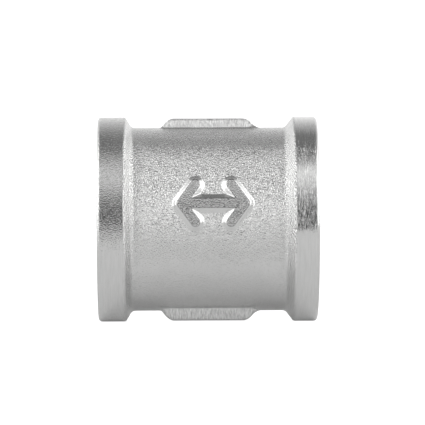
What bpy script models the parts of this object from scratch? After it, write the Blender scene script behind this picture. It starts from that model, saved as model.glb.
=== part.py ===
"""Pipe coupling: one nickel-plated brass forging with a G 1/2 inside thread at each end.

Metres, +Z up. The pipe axis is X and the origin is the centre of the coupling.
The two ribs are near +Z and -Z, on the forging's parting plane, and the raised mark faces -Y.
"""

import math

import bmesh
import bpy
from mathutils import Matrix, Vector

MM = 0.001

# Outside of the forging. Radii of round shapes are to the middle of a facet.
LENGTH = 28.5 * MM
BARREL_RADIUS = 11.95 * MM
COLLAR_RADIUS = 13.33 * MM
COLLAR_WIDTH_LEFT = 3.57 * MM
COLLAR_WIDTH_RIGHT = 3.11 * MM
CONE_LEFT = 0.83 * MM  # length along X of the slope from the collar down to the barrel
CONE_RIGHT = 1.08 * MM
EDGE_ROUND = 0.45 * MM  # outer edge of the end faces
SHOULDER_ROUND = 0.42 * MM  # top of the collar's slope
ROOT_FILLET = 0.75 * MM  # foot of the collar's slope
ROUND_SEGMENTS = 72
ARC_STEPS = 3

# Inside thread: G 1/2, 14 turns to the inch, 55 degree flanks.
PITCH = 25.4 * MM / 14
THREAD_MAJOR_RADIUS = 20.955 * MM / 2
THREAD_MINOR_RADIUS = 18.631 * MM / 2
THREAD_FLANK = math.radians(27.5)
THREAD_SEGMENTS = 48  # points round one turn
THREAD_START = math.radians(1)  # keeps the thread's corners off the corners of the round body
THREAD_TURNS = 6.0  # full turns inside the socket, from the end face
FADE_TURNS = 0.6  # run-out after them, in which the groove gets shallow
LEAD_TURNS = 2  # turns of the cutter that stay outside the end face
SPARE_TURNS = 1.3  # turns past the inner end, which are cut off square

# The mouths and the stop ridge between the threads.
MOUTH_RADIUS = 10.95 * MM
RIDGE_RADIUS = 8.9 * MM
RIDGE_WIDTH = 2.2 * MM
CONE_START = RIDGE_WIDTH / 2 + THREAD_MINOR_RADIUS - RIDGE_RADIUS  # 45 degree foot of the ridge

# Ribs on the parting plane, wider and longer at the foot than at the top.
UPPER_RIB_TOP = 13.06 * MM  # distance from the pipe axis
LOWER_RIB_TOP = 13.19 * MM
RIB_TOP_LENGTH = 10.36 * MM
RIB_TOP_WIDTH = 3.6 * MM
RIB_END_SLOPE = math.radians(52)  # from the pipe axis
RIB_SIDE_SLOPE = math.radians(67)
RIB_ROUND = 0.4 * MM
RIB_ROOT = 11.2 * MM  # how near the pipe axis the rib is sunk into the barrel's wall
RIB_OFFSET = 0.12 * MM  # along X, from the middle of the coupling
RIB_TURN = math.radians(-4.4)  # of the parting plane about X, as the coupling lies in the photo

# Raised mark: a plain line arrow with an open head at each end, for flow in either direction.
MARK_LENGTH = 10.4 * MM
MARK_STROKE = 1.75 * MM  # width of the shaft and of the heads' arms
MARK_ARM = 4.3 * MM  # length of each arm along its outer edge
MARK_ARM_ANGLE = math.radians(52)  # between an arm and the shaft
MARK_RELIEF = 0.55 * MM
MARK_X = 0.65 * MM
MARK_Z = 2.0 * MM
MARK_CORNER = 0.4 * MM
MARK_ROOT = 11.1 * MM  # how near the pipe axis the mark is sunk into the barrel's wall

SMOOTH_UNDER = math.radians(30)

NICKEL_COLOUR = (0.66, 0.65, 0.63)
NICKEL_METALLIC = 1.0
NICKEL_ROUGHNESS = 0.3


def clear_scene():
    for found in list(bpy.data.objects):
        bpy.data.objects.remove(found, do_unlink=True)


def make_material(name, colour, metallic, roughness):
    material = bpy.data.materials.new(name)
    material.use_nodes = True
    shader = material.node_tree.nodes["Principled BSDF"]
    shader.inputs["Base Color"].default_value = (*colour, 1.0)
    shader.inputs["Metallic"].default_value = metallic
    shader.inputs["Roughness"].default_value = roughness
    material.diffuse_color = (*colour, 1.0)
    return material


def object_from(bm, name):
    """A mesh object from a bmesh, with its normals turned outwards."""
    bmesh.ops.recalc_face_normals(bm, faces=bm.faces)
    mesh = bpy.data.meshes.new(name)
    bm.to_mesh(mesh)
    bm.free()
    made = bpy.data.objects.new(name, mesh)
    bpy.context.scene.collection.objects.link(made)
    return made


def shade(made):
    made.data.shade_smooth()
    made.data.set_sharp_from_angle(angle=SMOOTH_UNDER)


def hide_helper(made):
    """Marks an object that only cuts or joins another, so that it isn't a node."""
    made.hide_render = True
    made.display_type = "WIRE"


def combine(target, tool, operation):
    hide_helper(tool)
    boolean = target.modifiers.new(f"{operation.lower()} {tool.name}", "BOOLEAN")
    boolean.operation = operation
    boolean.solver = "EXACT"
    boolean.object = tool


def rounded(corners):
    """The points of a closed outline, from (x, y, radius) corners with each corner made an arc."""
    points = []
    for index, (x, y, radius) in enumerate(corners):
        corner = Vector((x, y))
        if not radius:
            points.append(corner)
            continue
        back = (Vector(corners[index - 1][:2]) - corner).normalized()
        ahead = (Vector(corners[(index + 1) % len(corners)][:2]) - corner).normalized()
        half_angle = back.angle(ahead) / 2
        centre = corner + (back + ahead).normalized() * radius / math.sin(half_angle)
        reach = radius / math.tan(half_angle)
        first = corner + back * reach - centre
        last = corner + ahead * reach - centre
        for step in range(ARC_STEPS + 1):
            points.append(centre + first.lerp(last, step / ARC_STEPS).normalized() * radius)
    return points


def revolve(outline, name):
    """A ring about the X axis from a closed outline of (x, radius) points."""
    bm = bmesh.new()
    outwards = 1 / math.cos(math.pi / ROUND_SEGMENTS)
    corners = [bm.verts.new((x, 0, radius * outwards)) for x, radius in outline]
    edges = [bm.edges.new((a, b)) for a, b in zip(corners, corners[1:] + corners[:1])]
    # Half a segment's turn puts a facet, not a corner, at the lowest place.
    half_segment = Matrix.Rotation(math.pi / ROUND_SEGMENTS, 3, "X")
    bmesh.ops.rotate(bm, cent=(0, 0, 0), matrix=half_segment, verts=corners)
    bmesh.ops.spin(
        bm, geom=corners + edges, cent=(0, 0, 0), axis=(1, 0, 0), dvec=(0, 0, 0),
        angle=math.tau, steps=ROUND_SEGMENTS, use_merge=True, use_duplicate=False,
    )
    return object_from(bm, name)


def extrude_outline(outline, start_y, end_y, name):
    """A prism along Y from a closed outline of (x, z) points."""
    bm = bmesh.new()
    face = bm.faces.new([bm.verts.new((x, start_y, z)) for x, z in outline])
    grown = bmesh.ops.extrude_face_region(bm, geom=[face])["geom"]
    moved = [part for part in grown if isinstance(part, bmesh.types.BMVert)]
    bmesh.ops.translate(bm, vec=(0, end_y - start_y, 0), verts=moved)
    return object_from(bm, name)


def collar_corners(side, width, cone):
    """Outside corners of one collar, from the barrel to the end face at side +1 or -1."""
    end = side * LENGTH / 2
    shoulder = end - side * width
    return [
        (shoulder - side * cone, BARREL_RADIUS, ROOT_FILLET),
        (shoulder, COLLAR_RADIUS, SHOULDER_ROUND),
        (end, COLLAR_RADIUS, EDGE_ROUND),
    ]


def mouth_corners(side):
    """Inside corners of one end: the face at the mouth, and where its 45 degree slope meets the bore."""
    end = side * LENGTH / 2
    return [
        (end, MOUTH_RADIUS, 0),
        (end - side * (MOUTH_RADIUS - RIDGE_RADIUS), RIDGE_RADIUS, 0),
    ]


def make_blank():
    """The turned forging with its countersunk through-bore, before threads, ribs and mark."""
    corners = (
        collar_corners(1, COLLAR_WIDTH_RIGHT, CONE_RIGHT)
        + mouth_corners(1)
        + mouth_corners(-1)[::-1]
        + collar_corners(-1, COLLAR_WIDTH_LEFT, CONE_LEFT)[::-1]
    )
    return revolve(rounded(corners), "coupling_body")


def thread_profile():
    """(share of the pitch, height from 0 at the minor to 1 at the major radius) of one thread."""
    depth = THREAD_MAJOR_RADIUS - THREAD_MINOR_RADIUS
    flank = depth * math.tan(THREAD_FLANK) / PITCH
    flat = 0.5 - flank
    return [(0, 0), (flat, 0), (flat + flank, 1), (2 * flat + flank, 1)]


def groove_depth(turn):
    """1 for a full groove, falling to 0 over the run-out."""
    left = (THREAD_TURNS + FADE_TURNS - turn) / FADE_TURNS
    return min(1, max(0, left))


def threaded_rod():
    """The open skin of a threaded rod about X, from outside the end face inwards."""
    bm = bmesh.new()
    profile = thread_profile()
    last_turn = (LENGTH / 2 - CONE_START) / PITCH + SPARE_TURNS
    columns = []
    for count in range(round((last_turn + LEAD_TURNS) * THREAD_SEGMENTS) + 1):
        turn = count / THREAD_SEGMENTS - LEAD_TURNS
        angle = turn * math.tau + THREAD_START
        column = []
        for share, height in profile:
            rise = (THREAD_MAJOR_RADIUS - THREAD_MINOR_RADIUS) * height * groove_depth(turn)
            radius = THREAD_MINOR_RADIUS + rise
            x = LENGTH / 2 - (turn + share) * PITCH
            column.append(bm.verts.new((x, radius * math.sin(angle), radius * math.cos(angle))))
        columns.append(column)
    for count in range(len(columns) - 1):
        pairs = list(zip(columns[count], columns[count + 1]))
        if count + THREAD_SEGMENTS + 1 < len(columns):
            # This turn's profile ends where the next turn's begins.
            pairs.append((columns[count + THREAD_SEGMENTS][0], columns[count + THREAD_SEGMENTS + 1][0]))
        for (a, b), (c, d) in zip(pairs, pairs[1:]):
            bm.faces.new((a, b, d, c))
    return bm


def cut_square(bm, x, keep_side):
    """Cuts the rod square at x, keeps the part on one side, and returns the open rim's edges."""
    geometry = bm.verts[:] + bm.edges[:] + bm.faces[:]
    cut = bmesh.ops.bisect_plane(
        bm, geom=geometry, plane_co=(x, 0, 0), plane_no=(-keep_side, 0, 0), clear_outer=True
    )
    return [part for part in cut["geom_cut"] if isinstance(part, bmesh.types.BMEdge)]


def make_thread_cutter(name):
    """A threaded rod with a flat outer end and a cone at its inner end, for the +X socket."""
    bm = threaded_rod()
    outer_rim = cut_square(bm, LENGTH / 2 + PITCH / 2, -1)
    inner_rim = cut_square(bm, CONE_START, 1)
    bmesh.ops.edgeloop_fill(bm, edges=outer_rim)
    tip = bmesh.ops.extrude_edge_only(bm, edges=inner_rim)["geom"]
    tip_rim = [part for part in tip if isinstance(part, bmesh.types.BMEdge)]
    tip_verts = [part for part in tip if isinstance(part, bmesh.types.BMVert)]
    # The 45 degree cone goes on past the ridge's surface, so that it cuts it cleanly.
    tip_length = 2 * (THREAD_MINOR_RADIUS - RIDGE_RADIUS)
    narrower = (THREAD_MINOR_RADIUS - tip_length) / THREAD_MINOR_RADIUS
    bmesh.ops.scale(bm, vec=(1, narrower, narrower), verts=tip_verts)
    bmesh.ops.translate(bm, vec=(-tip_length, 0, 0), verts=tip_verts)
    bmesh.ops.edgeloop_fill(bm, edges=tip_rim)
    return object_from(bm, name)


def cut_threads(body):
    """Both sockets take the same right-hand cutter, the second one turned half round about Z."""
    for name, turned in (("thread_right", 0), ("thread_left", math.pi)):
        cutter = make_thread_cutter(name)
        cutter.rotation_euler.z = turned
        combine(body, cutter, "DIFFERENCE")


def make_rib(name, side, top):
    """A low block with four sloped sides and a rounded top, standing towards +Z or -Z."""
    bm = bmesh.new()
    bmesh.ops.create_cube(bm, size=2)
    rise = top - RIB_ROOT
    for vert in bm.verts:
        down = rise if vert.co.z < 0 else 0
        half_length = RIB_TOP_LENGTH / 2 + down / math.tan(RIB_END_SLOPE)
        half_width = RIB_TOP_WIDTH / 2 + down / math.tan(RIB_SIDE_SLOPE)
        height = top - down
        vert.co = (RIB_OFFSET + vert.co.x * half_length, side * vert.co.y * half_width, side * height)
    bm.normal_update()
    middle = top - rise / 2
    upper_edges = [edge for edge in bm.edges if max(abs(vert.co.z) for vert in edge.verts) > middle]
    bmesh.ops.bevel(bm, geom=upper_edges, offset=RIB_ROUND, segments=ARC_STEPS, profile=0.5, affect="EDGES")
    bmesh.ops.rotate(bm, cent=(0, 0, 0), matrix=Matrix.Rotation(RIB_TURN, 3, "X"), verts=bm.verts)
    return object_from(bm, name)


def add_ribs(body):
    for name, side, top in (("upper_rib", 1, UPPER_RIB_TOP), ("lower_rib", -1, LOWER_RIB_TOP)):
        combine(body, make_rib(name, side, top), "UNION")


def mark_corners():
    """The arrow's outline, clockwise from its left point."""
    tip = Vector((-MARK_LENGTH / 2, 0))
    along_arm = Vector((math.cos(MARK_ARM_ANGLE), math.sin(MARK_ARM_ANGLE)))
    across_arm = Vector((along_arm.y, -along_arm.x))
    outer = tip + along_arm * MARK_ARM
    inner = outer + across_arm * MARK_STROKE
    joint = inner - along_arm * (inner.y - MARK_STROKE / 2) / along_arm.y
    upper = [tip, outer, inner, joint]
    upper += [Vector((-point.x, point.y)) for point in upper[:0:-1]]
    lower = [-point for point in upper]
    return [(MARK_X + x, MARK_Z + z, MARK_CORNER) for x, z in upper + lower]


def add_mark(body):
    """The arrow stands off the barrel by the same relief everywhere, with sides straight along Y."""
    mark = extrude_outline(rounded(mark_corners()), -0.8 * MARK_ROOT, -COLLAR_RADIUS, "mark")
    top = BARREL_RADIUS + MARK_RELIEF
    half = MARK_LENGTH
    tube = [(-half, MARK_ROOT, 0), (half, MARK_ROOT, 0), (half, top, 0), (-half, top, 0)]
    envelope = revolve(rounded(tube), "mark_envelope")
    combine(mark, envelope, "INTERSECT")
    combine(body, mark, "UNION")


def main():
    clear_scene()
    body = make_blank()
    cut_threads(body)
    add_ribs(body)
    add_mark(body)
    shade(body)
    nickel = make_material("nickel_plate", NICKEL_COLOUR, NICKEL_METALLIC, NICKEL_ROUGHNESS)
    body.data.materials.append(nickel)


main()
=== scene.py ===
"""Looks of the pipe coupling: a hot-forged, shot-blasted and nickel-plated brass socket.

The pipe axis is X, the ribs are at +Z and -Z, and the raised mark faces -Y, towards the camera.
All sizes are in metres. "Angle" is measured round the pipe axis from -Y towards +Z.
"""

import math

import bmesh
import bpy
import numpy as np
from mathutils import Matrix, Vector, noise


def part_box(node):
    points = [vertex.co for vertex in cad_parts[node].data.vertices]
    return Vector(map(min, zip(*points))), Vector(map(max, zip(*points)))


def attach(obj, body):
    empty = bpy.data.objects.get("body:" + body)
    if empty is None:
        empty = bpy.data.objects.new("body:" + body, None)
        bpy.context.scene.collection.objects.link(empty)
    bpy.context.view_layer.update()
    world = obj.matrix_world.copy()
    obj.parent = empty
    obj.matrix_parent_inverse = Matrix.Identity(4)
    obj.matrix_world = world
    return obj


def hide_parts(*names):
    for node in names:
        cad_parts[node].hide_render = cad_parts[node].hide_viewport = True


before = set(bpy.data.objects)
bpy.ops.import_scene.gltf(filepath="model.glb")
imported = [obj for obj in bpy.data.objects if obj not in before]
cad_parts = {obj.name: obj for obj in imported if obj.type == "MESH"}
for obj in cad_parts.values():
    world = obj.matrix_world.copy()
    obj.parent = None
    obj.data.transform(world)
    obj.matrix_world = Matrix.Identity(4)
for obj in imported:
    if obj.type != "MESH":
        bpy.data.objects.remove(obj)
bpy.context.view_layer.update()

MM = 0.001
CAD_LOW, CAD_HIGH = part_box("coupling_body")

# Outside of the forging.
HALF_LENGTH = CAD_HIGH.x
COLLAR_RADIUS = CAD_HIGH.z
BARREL_RADIUS = COLLAR_RADIUS - 1.38 * MM
COLLAR_WIDTH_LEFT = 3.57 * MM
COLLAR_WIDTH_RIGHT = 3.11 * MM
CONE_LEFT = 0.83 * MM
CONE_RIGHT = 1.08 * MM
EDGE_ROUND = 0.45 * MM
SHOULDER_ROUND = 0.42 * MM
ROOT_FILLET = 0.75 * MM
ARC_STEPS = 6
FORGING_WAVE_HEIGHT = 0.012 * MM
FORGING_WAVE_LENGTH = 4.5 * MM

# Ribs on the parting plane.
UPPER_RIB_TOP = 13.06 * MM
LOWER_RIB_TOP = 13.19 * MM
RIB_TOP_LENGTH = 10.36 * MM
RIB_TOP_WIDTH = 3.6 * MM
RIB_END_SLOPE = math.radians(52)
RIB_SIDE_SLOPE = math.radians(67)
RIB_END_BLEND = 0.9 * MM
RIB_SIDE_BLEND = 0.4 * MM
RIB_FOOT_BLEND = 0.1 * MM  # along the ribs; wider at their ends, most of all on the right
LEFT_FOOT_BLEND = 0.3 * MM
RIGHT_FOOT_BLEND = 0.9 * MM
RIB_OFFSET = 0.12 * MM
RIB_TURN = math.radians(4.4)  # the parting plane leans back from the camera at the top

# Raised mark: a plain line arrow with an open head at each end.
MARK_REACH = 4.1 * MM  # from the mark's middle to the points, along the strokes' centre lines
MARK_STROKE = 1.75 * MM  # width of a stroke half way up its sloped walls
MARK_ARM = 2.95 * MM
MARK_ARM_ANGLE = math.radians(52)
MARK_RELIEF = 0.55 * MM
MARK_WALL = 0.62 * MM  # width of the sloped wall, seen from the front
MARK_BLEND = 0.12 * MM
MARK_X = 0.65 * MM
MARK_Z = 2.0 * MM

# Mesh lines: coarse ones everywhere, fine ones across the mark and the ribs' slopes.
FINE_STEP = 0.1 * MM
COARSE_STEP = 0.45 * MM
FINE_TURN = math.radians(0.45)
COARSE_TURN = math.radians(1.5)
SUPPORT_LINE = 0.05 * MM  # from the end of a straight stretch, so that shading stays flat

# Inside: mouths, stop ridge and G 1/2 thread.
SEAM_RADIUS = 12.2 * MM  # ring on the end faces where the outside skin meets the inside
MOUTH_RADIUS = 10.95 * MM
MOUTH_ROUND = 0.12 * MM
RIDGE_RADIUS = 8.9 * MM
RIDGE_WIDTH = 2.2 * MM
PITCH = 25.4 * MM / 14
THREAD_MAJOR_RADIUS = 20.955 * MM / 2
THREAD_MINOR_RADIUS = 18.631 * MM / 2
THREAD_FLANK = math.radians(27.5)
THREAD_ROUND = 0.137329 * PITCH
THREAD_ARC_STEPS = 4
THREAD_SEGMENTS = 120
THREAD_TURNS = 6.0  # full turns, from the end face
FADE_TURNS = 0.6  # run-out after them
LEAD_TURNS = 2  # turns of the cutter that stay outside the end face
SPARE_TURNS = 1.3  # turns past the inner end, which are cut off square
CONE_START = RIDGE_WIDTH / 2 + THREAD_MINOR_RADIUS - RIDGE_RADIUS  # 45 degree foot of the ridge

TOUCHING = 1e-7  # points nearer than this count as the same
SHARP_FROM = math.radians(42)

# Which metal a face has.
BLASTED, TURNED_LEFT, TURNED_RIGHT, BORED = range(4)

# Blasted metal. Scales are features to the metre, and tones are the darkest and lightest base colour.
BLASTED_TONES = ((0.665, 0.665, 0.66), (0.69, 0.69, 0.685))
BLASTED_PATCHES = 420
BLASTED_ROUGHNESS = 0.19
PATCH_ROUGHNESS = 0.06
PITS_PER_METRE = 6200
PIT_DEPTH = 0.086 * MM
FINER_PITS_FROM = 0.62 * BARREL_RADIUS  # height at which the pits begin to get shallower
FINER_PITS_SHARE = 0.45  # of their depth, which is gone at the top of the barrel
FINER_PITS_ROUGHNESS = 0.03

# Its trimmed ribs.
TRIM_LINES = (6500, 1500, 1500)
TRIM_LINE_DEPTH = 0.06 * MM
TRIM_LINE_SHINE = 1.2
TRIM_TONE = -0.38
TRIM_ROUGHNESS = 0.16
TRIMMED_PIT_SHARE = 0.4  # of the pits' depth, which is gone on the ribs

# Its raised mark, by height up the mark's wall: (height, share of the tone or of the pits' depth). The
# tone's share is painted shade: a dark line along the mark's rim, and a little darker on its top.
MARK_RIM_PAINTED_SHADE = [(0.82, 1.0), (0.93, 0.55), (0.97, 0.6), (0.995, 0.9)]
MARK_PITS = [(0.02, 1.0), (0.1, 0.12), (0.85, 0.12), (0.98, 0.6)]

# Metal turned on a lathe, and metal bored and tapped.
TURNED_TONES = ((0.60, 0.60, 0.595), (0.665, 0.665, 0.66))
TURNED_STREAKS = (7500, 450)  # across the lathe's marks and along them
TURNED_GRAIN = 6400
TURNED_PATCHES = 500
TURNED_ROUGHNESS = 0.10
STREAK_DEPTHS = {TURNED_LEFT: 0.015 * MM, TURNED_RIGHT: 0.075 * MM}
GRAIN_DEPTHS = {TURNED_LEFT: 0.06 * MM, TURNED_RIGHT: 0.005 * MM}
BORED_TONES = ((0.58, 0.57, 0.55), (0.66, 0.65, 0.63))
BORED_STREAKS = (5200, 500)
BORED_STREAK_DEPTH = 0.012 * MM
BORED_PATCHES = 600
BORED_ROUGHNESS = 0.2
BORED_STREAK_ROUGHNESS = 0.1

# Camera and studio.
CAMERA_DISTANCE = 0.505
CAMERA_AZIMUTH = math.radians(-0.55)
CAMERA_ROLL = math.radians(0.23)
VIEW_WIDTH = 55.55 * MM  # how much the frame takes in at the object
OBJECT_RIGHT = -0.66 * MM  # where the object's centre lies from the frame's centre
OBJECT_UP = -0.86 * MM
FLOOR_SIZE = 6.0
FLOOR_GLOW = 0.97
BACKDROP_RADIUS = 0.9
BACKDROP_GLOW = 1.0
STAGE_TONE = 0.3
TABLE_FRONT = 70 * MM  # how far it reaches in front of the pipe axis
TABLE_DROP = 0.01 * MM  # below the floor
TABLE_TONE = 0.55
TABLE_GLOW = 0.29
TABLE_PAINTED_SHADOW = 0.5  # share of the glow that is left right under the object: a painted contact shadow
TABLE_PAINTED_SHADOW_REACH = (0.5 * MM, 3 * MM)  # where the painted shadow begins and ends to fade, from the pipe axis

# The tent's brightness by direction round the pipe axis, in degrees up from straight ahead.
TENT_TONES = [
    (-180, 1.1), (-90, 0.5), (-8, 0.12), (10, 0.13), (22, 0.33), (36, 0.72), (46, 0.86), (57, 1.05),
    (66, 0.62), (74, 0.32), (84, 0.21), (112, 0.24), (130, 0.58), (150, 0.95), (180, 1.1),
]
# Its side walls' brightness, in degrees round from straight ahead.
SIDE_TONES = [(0, 1.0), (30, 1.0), (48, 1.5), (62, 2.3), (95, 2.3), (115, 1.4), (180, 1.1)]
SIDE_START_AHEAD = 0.55  # the side walls begin where |X| is this share of |Y| and the next of |Z|
SIDE_START_ABOVE = 0.53
SIDE_START_BLUR = 0.25


# ---------------------------------------------------------------- outlines

def arc(before, corner, after, radius, steps):
    """Points that round a corner between two straight lines."""
    back = (before - corner).normalized()
    ahead = (after - corner).normalized()
    half_angle = back.angle(ahead) / 2
    centre = corner + (back + ahead).normalized() * radius / math.sin(half_angle)
    reach = radius / math.tan(half_angle)
    first = corner + back * reach - centre
    last = corner + ahead * reach - centre
    turn = first.angle(last)
    points = []
    for step in range(steps + 1):
        share = step / steps
        spoke = first * math.sin((1 - share) * turn) + last * math.sin(share * turn)
        points.append(centre + spoke / math.sin(turn))
    return points


def rounded(corners, steps):
    """An open outline from (x, y, radius) corners. The first and last stay sharp."""
    points = []
    spots = [Vector(corner[:2]) for corner in corners]
    for index, (x, y, radius) in enumerate(corners):
        if radius:
            points += arc(spots[index - 1], spots[index], spots[index + 1], radius, steps)
        else:
            points.append(spots[index])
    return points


def spaced(start, end, fine_spans, fine, coarse):
    """Positions from start up to end: a fine step inside the spans, and a coarse one outside."""
    found = [start]
    while found[-1] < end:
        here = found[-1]
        near = any(low - coarse < here < high for low, high in fine_spans)
        found.append(here + (fine if near else coarse))
    stretch = (end - start) / (found[-1] - start)
    return [start + (at - start) * stretch for at in found]


def with_support(points):
    """The outline with a line just inside both ends of every long straight stretch."""
    out = [points[0]]
    for here, there in zip(points, points[1:]):
        along = there - here
        if along.length > 6 * SUPPORT_LINE:
            near = along.normalized() * SUPPORT_LINE
            out += [here + near, there - near]
        out.append(there)
    return out


# ---------------------------------------------------------------- relief on the barrel

def soft_min(a, b, blend):
    near = np.maximum(blend - np.abs(a - b), 0) / blend
    return np.minimum(a, b) - near * near * blend / 4


def soft_max(a, b, blend):
    return -soft_min(-a, -b, blend)


def rib_radius(x, angle):
    """How far from the pipe axis the rib's block reaches in each direction."""
    turned = angle - RIB_TURN
    up = np.maximum(np.abs(np.sin(turned)), 1e-3)
    across = np.abs(np.cos(turned))
    height = np.where(np.sin(turned) > 0, UPPER_RIB_TOP, LOWER_RIB_TOP)
    end_room = RIB_TOP_LENGTH / 2 - np.abs(x - RIB_OFFSET)
    ridge = height + soft_min(end_room * math.tan(RIB_END_SLOPE), 0, RIB_END_BLEND)
    steep = math.tan(RIB_SIDE_SLOPE)
    sides = (height + RIB_TOP_WIDTH / 2 * steep) / (up + across * steep)
    return soft_min(ridge / up, sides, RIB_SIDE_BLEND)


def foot_blend(x):
    """How wide the fillet at the rib's foot is at each place along the pipe axis."""
    end = RIB_TOP_LENGTH / 2
    places = [RIB_OFFSET - end - 1 * MM, RIB_OFFSET - end, RIB_OFFSET + end, RIB_OFFSET + end + 1 * MM]
    return np.interp(x, places, [LEFT_FOOT_BLEND, RIB_FOOT_BLEND, RIB_FOOT_BLEND, RIGHT_FOOT_BLEND])


def distance_to_stroke(x, z, start, end):
    """Distance from each point to the straight line between two points."""
    run = end - start
    share = np.clip(((x - start.x) * run.x + (z - start.y) * run.y) / run.length_squared, 0, 1)
    return np.hypot(x - start.x - share * run.x, z - start.y - share * run.y)


def mark_strokes():
    """The centre lines of the arrow's shaft and its four arms, as (start, end) pairs."""
    centre = Vector((MARK_X, MARK_Z))
    half_shaft = Vector((MARK_REACH, 0))
    strokes = [(centre - half_shaft, centre + half_shaft)]
    for side in (-1, 1):
        for rise in (-1, 1):
            way = Vector((-side * math.cos(MARK_ARM_ANGLE), rise * math.sin(MARK_ARM_ANGLE)))
            point = centre + side * half_shaft
            strokes.append((point, point + way * MARK_ARM))
    return strokes


def mark_height(x, angle):
    """Height of the raised mark above the barrel."""
    z = BARREL_RADIUS * np.sin(angle)
    away = np.min([distance_to_stroke(x, z, *stroke) for stroke in mark_strokes()], axis=0)
    outside = away - MARK_STROKE / 2
    wall = MARK_RELIEF * (0.5 - outside / MARK_WALL)
    height = soft_max(soft_min(wall, MARK_RELIEF, MARK_BLEND), 0, MARK_BLEND)
    return np.where(np.cos(angle) > 0, height, 0)


def forging_wave(x, angle):
    """Slow unevenness of a forged and blasted surface."""
    rows = []
    for one_x in x[:, 0]:
        row = []
        for one_angle in angle[0]:
            spot = Vector((one_x, -BARREL_RADIUS * math.cos(one_angle), BARREL_RADIUS * math.sin(one_angle)))
            row.append(noise.noise(spot / FORGING_WAVE_LENGTH))
        rows.append(row)
    return np.array(rows) * FORGING_WAVE_HEIGHT


# ---------------------------------------------------------------- meshes

def angle_lines():
    """The angles of the mesh's lengthwise lines."""
    mark_reach = math.sin(MARK_ARM_ANGLE) * MARK_ARM + (MARK_STROKE + MARK_WALL) / 2
    low = math.asin((MARK_Z - mark_reach) / BARREL_RADIUS)
    high = math.asin((MARK_Z + mark_reach) / BARREL_RADIUS)
    rib_inner = math.asin((RIB_TOP_WIDTH / 2 - RIB_SIDE_BLEND) / UPPER_RIB_TOP)
    rib_outer = math.radians(14)
    spans = [(low, high)]
    for middle in (math.pi / 2 + RIB_TURN, 3 * math.pi / 2 + RIB_TURN):
        spans += [(middle - rib_outer, middle - rib_inner), (middle + rib_inner, middle + rib_outer)]
    return spaced(low, low + math.tau, spans, FINE_TURN, COARSE_TURN)[:-1]


def barrel_lines(start, end):
    """Places along the barrel between the feet of the two collars."""
    reach = MARK_REACH + (MARK_STROKE + MARK_WALL) / 2
    slope = (UPPER_RIB_TOP - BARREL_RADIUS) / math.tan(RIB_END_SLOPE) + RIGHT_FOOT_BLEND
    rib = RIB_TOP_LENGTH / 2
    spans = [(MARK_X - reach, MARK_X + reach)]
    spans += [(RIB_OFFSET - rib - slope, RIB_OFFSET - rib), (RIB_OFFSET + rib, RIB_OFFSET + rib + slope)]
    return spaced(start, end, spans, FINE_STEP, COARSE_STEP)


def collar_outline(side, width, cone):
    """Outside of one collar, from the barrel to the seam ring on its end face."""
    end = side * HALF_LENGTH
    shoulder = end - side * width
    foot = shoulder - side * cone
    corners = [
        (foot - side * 2 * ROOT_FILLET, BARREL_RADIUS, 0),
        (foot, BARREL_RADIUS, ROOT_FILLET),
        (shoulder, COLLAR_RADIUS, SHOULDER_ROUND),
        (end, COLLAR_RADIUS, EDGE_ROUND),
        (end, SEAM_RADIUS, 0),
    ]
    return with_support(rounded(corners, ARC_STEPS)[1:])


def skin_outline():
    """(x, radius) of the whole outside, from the left seam ring to the right one."""
    left = collar_outline(-1, COLLAR_WIDTH_LEFT, CONE_LEFT)[::-1]
    right = collar_outline(1, COLLAR_WIDTH_RIGHT, CONE_RIGHT)
    barrel = [Vector((x, BARREL_RADIUS)) for x in barrel_lines(left[-1].x, right[0].x)]
    return left + barrel[1:-1] + right


def surface_point(x, radius, angle):
    return (x, -radius * math.cos(angle), radius * math.sin(angle))


def outside_metal(a, b):
    """The metal between two points of the outline: collars and end faces are turned."""
    on_collar = min(a.y, b.y) > COLLAR_RADIUS - TOUCHING
    on_end = max(abs(a.x), abs(b.x)) > HALF_LENGTH - EDGE_ROUND
    if not (on_collar or on_end):
        return BLASTED
    return TURNED_RIGHT if a.x > 0 else TURNED_LEFT


def outside_skin(angles):
    """The outside as one open grid, which knows where it is raised or trimmed."""
    outline = skin_outline()
    x = np.array([[point.x] for point in outline])
    flat = np.array([[point.y] for point in outline])
    angle = np.array([angles])
    on_barrel = flat < BARREL_RADIUS + TOUCHING
    raised = mark_height(x, angle)
    ribs = rib_radius(x, angle)
    forged = soft_max(flat + raised, ribs, foot_blend(x))
    radius = np.where(on_barrel, forged + forging_wave(x, angle), flat + 0 * angle)
    up_the_mark = np.where(on_barrel, raised / MARK_RELIEF, 0)
    trimmed = np.where(on_barrel & (ribs > BARREL_RADIUS + RIB_FOOT_BLEND), 1.0, 0.0)
    bm = bmesh.new()
    height_layer = bm.verts.layers.float.new("mark_height")
    trim_layer = bm.verts.layers.float.new("trimmed")
    grid = []
    for row in range(len(outline)):
        grid.append([
            bm.verts.new(surface_point(outline[row].x, radius[row, column], angles[column]))
            for column in range(len(angles))
        ])
        for column, vert in enumerate(grid[row]):
            vert[height_layer] = up_the_mark[row, column]
            vert[trim_layer] = trimmed[row, column]
    for row in range(len(outline) - 1):
        metal = outside_metal(outline[row], outline[row + 1])
        for column in range(len(angles)):
            after = (column + 1) % len(angles)
            face = bm.faces.new((
                grid[row][column], grid[row + 1][column], grid[row + 1][after], grid[row][after],
            ))
            face.material_index = metal
    return bm


def object_from(bm, name):
    bmesh.ops.recalc_face_normals(bm, faces=bm.faces)
    mesh = bpy.data.meshes.new(name)
    bm.to_mesh(mesh)
    bm.free()
    made = bpy.data.objects.new(name, mesh)
    bpy.context.scene.collection.objects.link(made)
    return made


def inside_corners(side):
    """One end's inside, from the seam ring to the stop ridge."""
    end = side * HALF_LENGTH
    slope_end = end - side * (MOUTH_RADIUS - RIDGE_RADIUS)
    return [(end, SEAM_RADIUS, 0), (end, MOUTH_RADIUS, MOUTH_ROUND), (slope_end, RIDGE_RADIUS, 0)]


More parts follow.
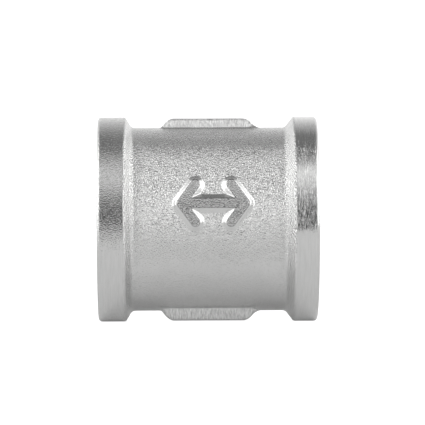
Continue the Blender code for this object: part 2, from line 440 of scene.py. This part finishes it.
def inside_blank(angles):
    """A plain closed tube from the seam ring to the bore, with countersunk mouths."""
    outline = rounded(inside_corners(1), 2) + rounded(inside_corners(-1), 2)[::-1]
    bm = bmesh.new()
    rings = [[bm.verts.new(surface_point(p.x, p.y, angle)) for angle in angles] for p in outline]
    for ring, following in zip(rings, rings[1:] + rings[:1]):
        for column in range(len(angles)):
            after = (column + 1) % len(angles)
            bm.faces.new((ring[column], following[column], following[after], ring[after]))
    return object_from(bm, "inside_blank")


def thread_profile():
    """(share of the pitch, height above the minor radius) of one thread, with round root and crest."""
    half_height = PITCH / 4 / math.tan(THREAD_FLANK)
    wave = [(-0.5, 1), (0, -1), (0.5, 1), (1, -1)]
    corners = [(share * PITCH, side * half_height, THREAD_ROUND) for share, side in wave]
    corners[0] = (*corners[0][:2], 0)
    corners[-1] = (*corners[-1][:2], 0)
    points = rounded(corners, THREAD_ARC_STEPS)[1:-1]
    lowest = min(point.y for point in points)
    return [(point.x / PITCH, point.y - lowest) for point in points]


def groove_depth(turn):
    """1 for a full groove, falling smoothly to 0 over the run-out."""
    left = min(1, max(0, (THREAD_TURNS + FADE_TURNS - turn) / FADE_TURNS))
    return left * left * (3 - 2 * left)


def threaded_rod():
    """The open skin of a threaded rod about X, from outside the end face inwards."""
    bm = bmesh.new()
    profile = thread_profile()
    last_turn = (HALF_LENGTH - CONE_START) / PITCH + SPARE_TURNS
    columns = []
    for count in range(round((last_turn + LEAD_TURNS) * THREAD_SEGMENTS) + 1):
        turn = count / THREAD_SEGMENTS - LEAD_TURNS
        angle = turn * math.tau
        column = []
        for share, height in profile:
            radius = THREAD_MINOR_RADIUS + height * groove_depth(turn)
            x = HALF_LENGTH - (turn + share) * PITCH
            column.append(bm.verts.new((x, radius * math.sin(angle), radius * math.cos(angle))))
        columns.append(column)
    for count in range(len(columns) - 1):
        pairs = list(zip(columns[count], columns[count + 1]))
        if count + THREAD_SEGMENTS + 1 < len(columns):
            # This turn's profile ends where the next turn's begins.
            pairs.append((columns[count + THREAD_SEGMENTS][0], columns[count + THREAD_SEGMENTS + 1][0]))
        for (a, b), (c, d) in zip(pairs, pairs[1:]):
            bm.faces.new((a, b, d, c))
    return bm


def cut_square(bm, x, keep_side):
    """Cuts the rod at x, keeps the part on one side, and returns the open rim's edges."""
    geometry = bm.verts[:] + bm.edges[:] + bm.faces[:]
    cut = bmesh.ops.bisect_plane(
        bm, geom=geometry, plane_co=(x, 0, 0), plane_no=(-keep_side, 0, 0), clear_outer=True
    )
    return [part for part in cut["geom_cut"] if isinstance(part, bmesh.types.BMEdge)]


def thread_cutter(name, turned):
    """A threaded rod with a cone at its inner end, as the space inside one socket."""
    bm = threaded_rod()
    outer_rim = cut_square(bm, HALF_LENGTH + PITCH / 2, -1)
    inner_rim = cut_square(bm, CONE_START, 1)
    bmesh.ops.edgeloop_fill(bm, edges=outer_rim)
    tip = bmesh.ops.extrude_edge_only(bm, edges=inner_rim)["geom"]
    tip_rim = [part for part in tip if isinstance(part, bmesh.types.BMEdge)]
    tip_verts = [part for part in tip if isinstance(part, bmesh.types.BMVert)]
    tip_length = 2 * (THREAD_MINOR_RADIUS - RIDGE_RADIUS)
    narrower = (THREAD_MINOR_RADIUS - tip_length) / THREAD_MINOR_RADIUS
    bmesh.ops.scale(bm, vec=(1, narrower, narrower), verts=tip_verts)
    bmesh.ops.translate(bm, vec=(-tip_length, 0, 0), verts=tip_verts)
    bmesh.ops.edgeloop_fill(bm, edges=tip_rim)
    bmesh.ops.rotate(bm, cent=(0, 0, 0), matrix=Matrix.Rotation(turned, 3, "Z"), verts=bm.verts)
    return object_from(bm, name)


def threaded_inside(angles):
    """The inside's mesh: the blank with both threads cut, and without its outer wall."""
    blank = inside_blank(angles)
    cutters = [thread_cutter("thread_right", 0), thread_cutter("thread_left", math.pi)]
    for cutter in cutters:
        boolean = blank.modifiers.new(cutter.name, "BOOLEAN")
        boolean.operation = "DIFFERENCE"
        boolean.solver = "EXACT"
        boolean.object = cutter
    bpy.context.view_layer.update()
    graph = bpy.context.evaluated_depsgraph_get()
    bm = bmesh.new()
    bm.from_mesh(blank.evaluated_get(graph).to_mesh())
    for helper in [blank, *cutters]:
        bpy.data.objects.remove(helper)
    wall = []
    for face in bm.faces:
        centre = face.calc_center_median()
        if math.hypot(centre.y, centre.z) > MOUTH_RADIUS and abs(centre.x) < HALF_LENGTH / 2:
            wall.append(face)
    bmesh.ops.delete(bm, geom=wall, context="FACES")
    for face in bm.faces:
        x = face.calc_center_median().x
        face.material_index = BORED
        if abs(x) > HALF_LENGTH - TOUCHING:
            face.material_index = TURNED_RIGHT if x > 0 else TURNED_LEFT
    return bm


def make_coupling():
    """The coupling as one closed mesh."""
    angles = angle_lines()
    whole = outside_skin(angles)
    inside = threaded_inside(angles)
    inside_mesh = bpy.data.meshes.new("inside")
    inside.to_mesh(inside_mesh)
    inside.free()
    whole.from_mesh(inside_mesh)
    bpy.data.meshes.remove(inside_mesh)
    bmesh.ops.remove_doubles(whole, verts=whole.verts, dist=TOUCHING)
    coupling = object_from(whole, "nickel_coupling")
    coupling.data.shade_smooth()
    coupling.data.set_sharp_from_angle(angle=SHARP_FROM)
    return coupling


# ---------------------------------------------------------------- materials

# Sockets of a colour Mix node, which share their names with its other sockets.
MIX_COLOUR_A = 6
MIX_COLOUR_B = 7
MIX_COLOUR_OUT = 2


class Nodes:
    """Short calls for building a node tree."""

    def __init__(self, tree):
        self.tree = tree

    def add(self, kind, inputs=(), **settings):
        node = self.tree.nodes.new(kind)
        for name, value in settings.items():
            setattr(node, name, value)
        for name, value in dict(inputs).items():
            if isinstance(value, bpy.types.NodeSocket):
                self.tree.links.new(value, node.inputs[name])
            else:
                node.inputs[name].default_value = value
        return node

    def math(self, operation, *values):
        return self.add("ShaderNodeMath", dict(enumerate(values)), operation=operation).outputs[0]

    def ramp(self, factor, stops):
        node = self.add("ShaderNodeValToRGB", {"Fac": factor})
        while len(node.color_ramp.elements) < len(stops):
            node.color_ramp.elements.new(1)
        for element, (place, value) in zip(node.color_ramp.elements, stops):
            element.position = place
            element.color = (*value, 1) if isinstance(value, tuple) else (value, value, value, 1)
        return node.outputs["Color"]

    def pits(self, vector, scale):
        """Close round pits: the distance from the nearest of many scattered points."""
        return self.add("ShaderNodeTexVoronoi", {"Vector": vector, "Scale": scale}).outputs["Distance"]

    def noise(self, vector, scale, detail=2.0, roughness=0.5):
        inputs = {"Vector": vector, "Scale": scale, "Detail": detail, "Roughness": roughness}
        return self.add("ShaderNodeTexNoise", inputs).outputs["Fac"]

    def place(self):
        """Where a point is on the object, in metres."""
        return self.add("ShaderNodeTexCoord").outputs["Object"]

    def axes(self, vector):
        return self.add("ShaderNodeSeparateXYZ", {"Vector": vector}).outputs

    def attribute(self, name):
        return self.add("ShaderNodeAttribute", attribute_name=name).outputs["Fac"]

    def between(self, value, low, high, first=0.0, last=1.0, way="LINEAR"):
        """first where the value is up to low, and last from high on."""
        inputs = {"Value": value, "From Min": low, "From Max": high, "To Min": first, "To Max": last}
        return self.add("ShaderNodeMapRange", inputs, interpolation_type=way).outputs[0]

    def mix(self, blend, factor, first, second):
        node = self.add("ShaderNodeMix", {"Factor": factor}, data_type="RGBA", blend_type=blend)
        self.tree.links.new(first, node.inputs[MIX_COLOUR_A])
        self.tree.links.new(second, node.inputs[MIX_COLOUR_B])
        return node.outputs[MIX_COLOUR_OUT]

    def bump(self, height, depth, under=None, strength=1.0):
        """The normal after a relief of the given depth, on top of the relief under it."""
        inputs = {"Height": height, "Strength": strength, "Distance": depth}
        if under:
            inputs["Normal"] = under
        return self.add("ShaderNodeBump", inputs).outputs[0]


def new_metal(name):
    material = bpy.data.materials.new(name)
    material.use_nodes = True
    shader = material.node_tree.nodes["Principled BSDF"]
    shader.inputs["Metallic"].default_value = 1.0
    return material, Nodes(material.node_tree), shader


def join_up(nodes, shader, colour, roughness, normal):
    nodes.tree.links.new(colour, shader.inputs["Base Color"])
    nodes.tree.links.new(roughness, shader.inputs["Roughness"])
    nodes.tree.links.new(normal, shader.inputs["Normal"])


def trim_lines(nodes, place):
    """Fine lines up and down the ribs, from the tool that trims off the flash."""
    stretched = nodes.add("ShaderNodeVectorMath", {0: place, 1: TRIM_LINES}, operation="MULTIPLY")
    return nodes.noise(stretched.outputs[0], 1.0, 1.0, 0.5)


def blasted_colour(nodes, patches, up_the_mark, trimmed, lines):
    """Nearly even. The mark's rim is darker, a painted shade line, and the ribs' trimmed metal is brighter
    and streaked.
    """
    darkest, lightest = BLASTED_TONES
    plain = nodes.ramp(patches, [(0.35, darkest), (0.65, lightest)])
    # painted shade: the colour darkens near the top of the mark's wall, as a dark line along its rim
    rim_painted_shade = nodes.ramp(up_the_mark, MARK_RIM_PAINTED_SHADE)
    brighter = nodes.math("MULTIPLY_ADD", lines, TRIM_LINE_SHINE, TRIM_TONE)
    shade = nodes.math("MULTIPLY_ADD", trimmed, brighter, rim_painted_shade)
    return nodes.mix("MULTIPLY", 1.0, plain, shade)


def blasted_nickel():
    """Shot-blasted, then plated: close round pits under a soft shine.

    The pits are shallower towards the top of the barrel, on the ribs and on the mark's walls.
    """
    material, nodes, shader = new_metal("nickel_blasted")
    place = nodes.place()
    patches = nodes.noise(place, BLASTED_PATCHES, 3.0, 0.6)
    up_the_mark = nodes.attribute("mark_height")
    trimmed = nodes.attribute("trimmed")
    lines = trim_lines(nodes, place)
    colour = blasted_colour(nodes, patches, up_the_mark, trimmed, lines)
    finer = nodes.between(nodes.axes(place)["Z"], FINER_PITS_FROM, BARREL_RADIUS)
    even = nodes.math("MULTIPLY_ADD", patches, PATCH_ROUGHNESS, BLASTED_ROUGHNESS)
    rougher = nodes.math("MULTIPLY_ADD", finer, FINER_PITS_ROUGHNESS, even)
    roughness = nodes.math("MULTIPLY_ADD", trimmed, TRIM_ROUGHNESS, rougher)
    on_mark = nodes.ramp(up_the_mark, MARK_PITS)
    untrimmed = nodes.math("MULTIPLY_ADD", trimmed, -TRIMMED_PIT_SHARE * PIT_DEPTH, PIT_DEPTH)
    not_finer = nodes.math("MULTIPLY_ADD", finer, -FINER_PITS_SHARE, 1.0)
    depth = nodes.math("MULTIPLY", nodes.math("MULTIPLY", on_mark, untrimmed), not_finer)
    scratched = nodes.bump(lines, nodes.math("MULTIPLY", trimmed, TRIM_LINE_DEPTH))
    pitted = nodes.bump(nodes.pits(place, PITS_PER_METRE), depth, scratched)
    join_up(nodes, shader, colour, roughness, pitted)
    return material


def round_streaks(nodes, place, across, along):
    """Noise drawn out round the pipe axis: fine across the lathe's marks and long along them."""
    axes = nodes.axes(place)
    squares = [nodes.math("POWER", axes[name], 2.0) for name in "YZ"]
    radius = nodes.math("SQRT", nodes.math("ADD", *squares))
    vector = nodes.add("ShaderNodeCombineXYZ", {
        "X": nodes.math("MULTIPLY", nodes.math("ADD", axes["X"], radius), across),
        "Y": nodes.math("MULTIPLY", axes["Y"], along),
        "Z": nodes.math("MULTIPLY", axes["Z"], along),
    }).outputs[0]
    return nodes.noise(vector, 1.0, 3.0, 0.6)


def turned_nickel(name, side):
    """Machined on a lathe, then plated: fine marks round the axis, and some blast grain."""
    material, nodes, shader = new_metal(name)
    place = nodes.place()
    streaks = round_streaks(nodes, place, *TURNED_STREAKS)
    grain = nodes.noise(place, TURNED_GRAIN, 1.0, 0.5)
    patches = nodes.noise(place, TURNED_PATCHES, 2.0, 0.5)
    darkest, lightest = TURNED_TONES
    colour = nodes.ramp(streaks, [(0.3, darkest), (0.7, lightest)])
    roughness = nodes.math("MULTIPLY_ADD", patches, PATCH_ROUGHNESS, TURNED_ROUGHNESS)
    turned = nodes.bump(streaks, STREAK_DEPTHS[side])
    join_up(nodes, shader, colour, roughness, nodes.bump(grain, GRAIN_DEPTHS[side], turned))
    return material


def bored_nickel():
    """Tapped thread and bore: clean cut metal, a little duller in the depth."""
    material, nodes, shader = new_metal("nickel_bored")
    place = nodes.place()
    streaks = round_streaks(nodes, place, *BORED_STREAKS)
    patches = nodes.noise(place, BORED_PATCHES, 2.0, 0.5)
    darkest, lightest = BORED_TONES
    colour = nodes.ramp(patches, [(0.3, darkest), (0.7, lightest)])
    roughness = nodes.math("MULTIPLY_ADD", streaks, BORED_STREAK_ROUGHNESS, BORED_ROUGHNESS)
    join_up(nodes, shader, colour, roughness, nodes.bump(streaks, BORED_STREAK_DEPTH, strength=0.6))
    return material


def dress(coupling):
    """Gives the coupling its metals, in the order of the faces' material numbers."""
    metals = {
        BLASTED: blasted_nickel(),
        TURNED_LEFT: turned_nickel("nickel_turned_left", TURNED_LEFT),
        TURNED_RIGHT: turned_nickel("nickel_turned_right", TURNED_RIGHT),
        BORED: bored_nickel(),
    }
    for number in sorted(metals):
        coupling.data.materials.append(metals[number])


# ---------------------------------------------------------------- studio

def make_world():
    """A light tent: bright side walls, a dark opening at the camera and another overhead."""
    world = bpy.data.worlds.new("light_tent")
    bpy.context.scene.world = world
    world.use_nodes = True
    nodes = Nodes(world.node_tree)
    axes = nodes.axes(nodes.add("ShaderNodeTexCoord").outputs["Generated"])
    ahead = nodes.math("MULTIPLY", axes["Y"], -1.0)
    aside, along, above = (nodes.math("ABSOLUTE", axes[name]) for name in "XYZ")
    turn = nodes.math("MULTIPLY_ADD", nodes.math("ARCTAN2", axes["Z"], ahead), 1 / math.tau, 0.5)
    tones = nodes.ramp(turn, [(degrees / 360 + 0.5, tone) for degrees, tone in TENT_TONES])
    round_share = nodes.math("MULTIPLY", nodes.math("ARCTAN2", aside, ahead), 1 / math.pi)
    side_tones = nodes.ramp(round_share, [(degrees / 180, tone) for degrees, tone in SIDE_TONES])
    upward = nodes.math("MULTIPLY", above, SIDE_START_ABOVE)
    edge = nodes.math("MULTIPLY_ADD", along, SIDE_START_AHEAD, upward)
    sideways = nodes.math("DIVIDE", aside, edge)
    on_side = nodes.between(sideways, 1 - SIDE_START_BLUR, 1 + SIDE_START_BLUR, way="SMOOTHSTEP")
    background = world.node_tree.nodes["Background"]
    nodes.tree.links.new(nodes.mix("MIX", on_side, tones, side_tones), background.inputs["Color"])


def flat_sheet(name, front, height):
    """A level square of the floor's size, cut off at its front edge."""
    half = FLOOR_SIZE / 2
    mesh = bpy.data.meshes.new(name)
    corners = [(-half, front, height), (half, front, height), (half, half, height), (-half, half, height)]
    mesh.from_pydata(corners, [], [(0, 1, 2, 3)])
    sheet = bpy.data.objects.new(name, mesh)
    bpy.context.scene.collection.objects.link(sheet)
    return sheet


def glow(sheet, tone, strength):
    """Gives the sheet a dull grey material that also shines by itself."""
    material = bpy.data.materials.new(sheet.name)
    material.use_nodes = True
    sheet.data.materials.append(material)
    shader = material.node_tree.nodes["Principled BSDF"]
    shader.inputs["Base Color"].default_value = (tone, tone, tone, 1)
    shader.inputs["Roughness"].default_value = 1.0
    shader.inputs["Specular IOR Level"].default_value = 0.0
    shader.inputs["Emission Color"].default_value = (1, 1, 1, 1)
    shader.inputs["Emission Strength"].default_value = strength


def paint_shadow_under_object(table):
    """Dims the table's glow close to the line that the object stands on: a contact shadow painted into the
    glow, on top of the real shadow that the table's grey catches.
    """
    tree = table.data.materials[0].node_tree
    nodes = Nodes(tree)
    from_axis = nodes.math("ABSOLUTE", nodes.axes(nodes.place())["Y"])
    # painted shadow: the glow is lower near the object's footing line
    painted_shadow_glow = nodes.between(from_axis, *TABLE_PAINTED_SHADOW_REACH, TABLE_PAINTED_SHADOW * TABLE_GLOW, TABLE_GLOW)
    tree.links.new(painted_shadow_glow, tree.nodes["Principled BSDF"].inputs["Emission Strength"])


def hide_from_metal(sheet):
    sheet.visible_glossy = False
    sheet.visible_diffuse = False
    sheet.visible_shadow = False


def make_floor():
    """The white floor that the camera sees, and the table top that the metal reflects."""
    floor = flat_sheet("floor", -FLOOR_SIZE / 2, CAD_LOW.z)
    glow(floor, STAGE_TONE, FLOOR_GLOW)
    hide_from_metal(floor)
    table = flat_sheet("table", -TABLE_FRONT, CAD_LOW.z - TABLE_DROP)
    glow(table, TABLE_TONE, TABLE_GLOW)
    paint_shadow_under_object(table)
    table.visible_camera = False


def make_backdrop():
    """A white dome that only the camera sees, so that every side has the same plain background."""
    bm = bmesh.new()
    bmesh.ops.create_uvsphere(bm, u_segments=48, v_segments=24, radius=BACKDROP_RADIUS)
    bmesh.ops.delete(bm, geom=[vert for vert in bm.verts if vert.co.z < CAD_LOW.z], context="VERTS")
    dome = object_from(bm, "backdrop")
    glow(dome, STAGE_TONE, BACKDROP_GLOW)
    hide_from_metal(dome)


def make_camera():
    """A long lens at the height of the pipe axis, aimed so that the object sits low and left."""
    data = bpy.data.cameras.new("camera")
    camera = bpy.data.objects.new("camera", data)
    bpy.context.scene.collection.objects.link(camera)
    ahead = Vector((-math.sin(CAMERA_AZIMUTH), math.cos(CAMERA_AZIMUTH), 0))
    right = Vector((ahead.y, -ahead.x, 0))
    up = Vector((0, 0, 1))
    aim = -right * OBJECT_RIGHT - up * OBJECT_UP
    rotation = Matrix((right, up, -ahead)).transposed() @ Matrix.Rotation(-CAMERA_ROLL, 3, "Z")
    camera.matrix_world = Matrix.Translation(aim - ahead * CAMERA_DISTANCE) @ rotation.to_4x4()
    data.lens = data.sensor_width * CAMERA_DISTANCE / VIEW_WIDTH
    data.clip_start = 0.01
    data.clip_end = 20
    bpy.context.scene.camera = camera


def main():
    coupling = make_coupling()
    dress(coupling)
    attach(coupling, "root")
    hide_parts("coupling_body")
    make_world()
    make_floor()
    make_backdrop()
    make_camera()
    settings = bpy.context.scene.view_settings
    settings.view_transform = "Standard"
    settings.look = "None"


main()
